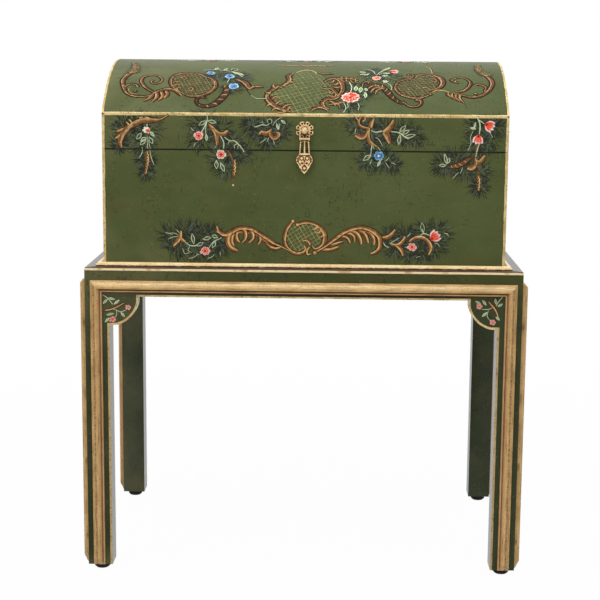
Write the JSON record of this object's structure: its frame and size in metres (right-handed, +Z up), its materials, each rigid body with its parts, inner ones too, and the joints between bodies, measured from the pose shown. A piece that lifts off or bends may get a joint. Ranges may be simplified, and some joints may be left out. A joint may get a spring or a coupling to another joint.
{
  "type": "dome-top chest on stand",
  "caption": "Domed storage chest with a hinged lid and a pendant pull, lifting out of a rimmed stand on square moulded legs.",
  "frame": {"origin": "on the floor under the middle of the stand", "axes": "+Z up, +X to the right seen from the front, front towards -Y"},
  "size_m": [0.7834, 0.5094, 0.9061],
  "materials": {
    "chest_lacquer": "aged olive green lacquer over wood",
    "dome_lacquer": "aged olive green lacquer over bent wood",
    "stand_lacquer": "aged dark green lacquer over wood",
    "gilt_moulding": "rubbed gilt over red-brown ground on carved wood",
    "gilt_rim": "rubbed gilt over dark brown on carved wood",
    "bare_wood": "waxed plywood",
    "glide_brown": "dark brown nylon",
    "hinge_brass": "dull brass",
    "antique_brass": "pale antique brass"
  },
  "bodies": {
    "stand": {"leg_front_left": "stand_lacquer", "leg_front_right": "stand_lacquer", "leg_back_left": "stand_lacquer", "leg_back_right": "stand_lacquer", "rail_front": "stand_lacquer", "rail_right": "stand_lacquer", "rail_back": "stand_lacquer", "rail_left": "stand_lacquer", "bracket_front_left": "stand_lacquer", "bracket_front_right": "stand_lacquer", "bracket_back_left": "stand_lacquer", "bracket_back_right": "stand_lacquer", "bracket_left_front": "stand_lacquer", "bracket_left_back": "stand_lacquer", "bracket_right_front": "stand_lacquer", "bracket_right_back": "stand_lacquer", "moulding_front_rail": "gilt_moulding", "moulding_front_left_leg": "gilt_moulding", "moulding_front_right_leg": "gilt_moulding", "moulding_back_rail": "gilt_moulding", "moulding_back_left_leg": "gilt_moulding", "moulding_back_right_leg": "gilt_moulding", "moulding_left_rail": "gilt_moulding", "moulding_left_front_leg": "gilt_moulding", "moulding_left_back_leg": "gilt_moulding", "moulding_right_rail": "gilt_moulding", "moulding_right_front_leg": "gilt_moulding", "moulding_right_back_leg": "gilt_moulding", "stand_top": "stand_lacquer", "rim_front": "gilt_rim", "rim_right": "gilt_rim", "rim_back": "gilt_rim", "rim_left": "gilt_rim", "glides": "glide_brown"},
    "chest": {"case_front": "chest_lacquer", "case_back": "chest_lacquer", "case_left_end": "chest_lacquer", "case_right_end": "chest_lacquer", "case_bottom": "bare_wood", "left_hinge_lower_leaf": "hinge_brass", "left_hinge_pin": "hinge_brass", "right_hinge_lower_leaf": "hinge_brass", "right_hinge_pin": "hinge_brass", "lower_leaf_screws": "hinge_brass"},
    "lid": {"lid_front": "chest_lacquer", "lid_back": "chest_lacquer", "lid_left_end": "chest_lacquer", "lid_right_end": "chest_lacquer", "lid_dome": "dome_lacquer", "left_hinge_upper_leaf": "hinge_brass", "right_hinge_upper_leaf": "hinge_brass", "upper_leaf_screws": "hinge_brass", "pull_rosette": "antique_brass", "pull_post": "antique_brass", "pull_nut": "antique_brass", "pull_pivot_pin": "antique_brass"},
    "pendant": {"pull_pendant": "antique_brass"}
  },
  "joints": [
    {"name": "chest_lift", "type": "slide", "parent": "stand", "child": "chest", "axis": [0, 0, 1], "range_m": [0, 0.12]},
    {"name": "lid_hinge", "type": "hinge", "parent": "chest", "child": "lid", "pos_m": [0, 0.2175, 0.7536], "axis": [-1, 0, 0], "range_deg": [0, 95]},
    {"name": "pull_swing", "type": "hinge", "parent": "lid", "child": "pendant", "pos_m": [0, -0.2208, 0.7886], "axis": [-1, 0, 0], "range_deg": [-3, 160]}
  ]
}
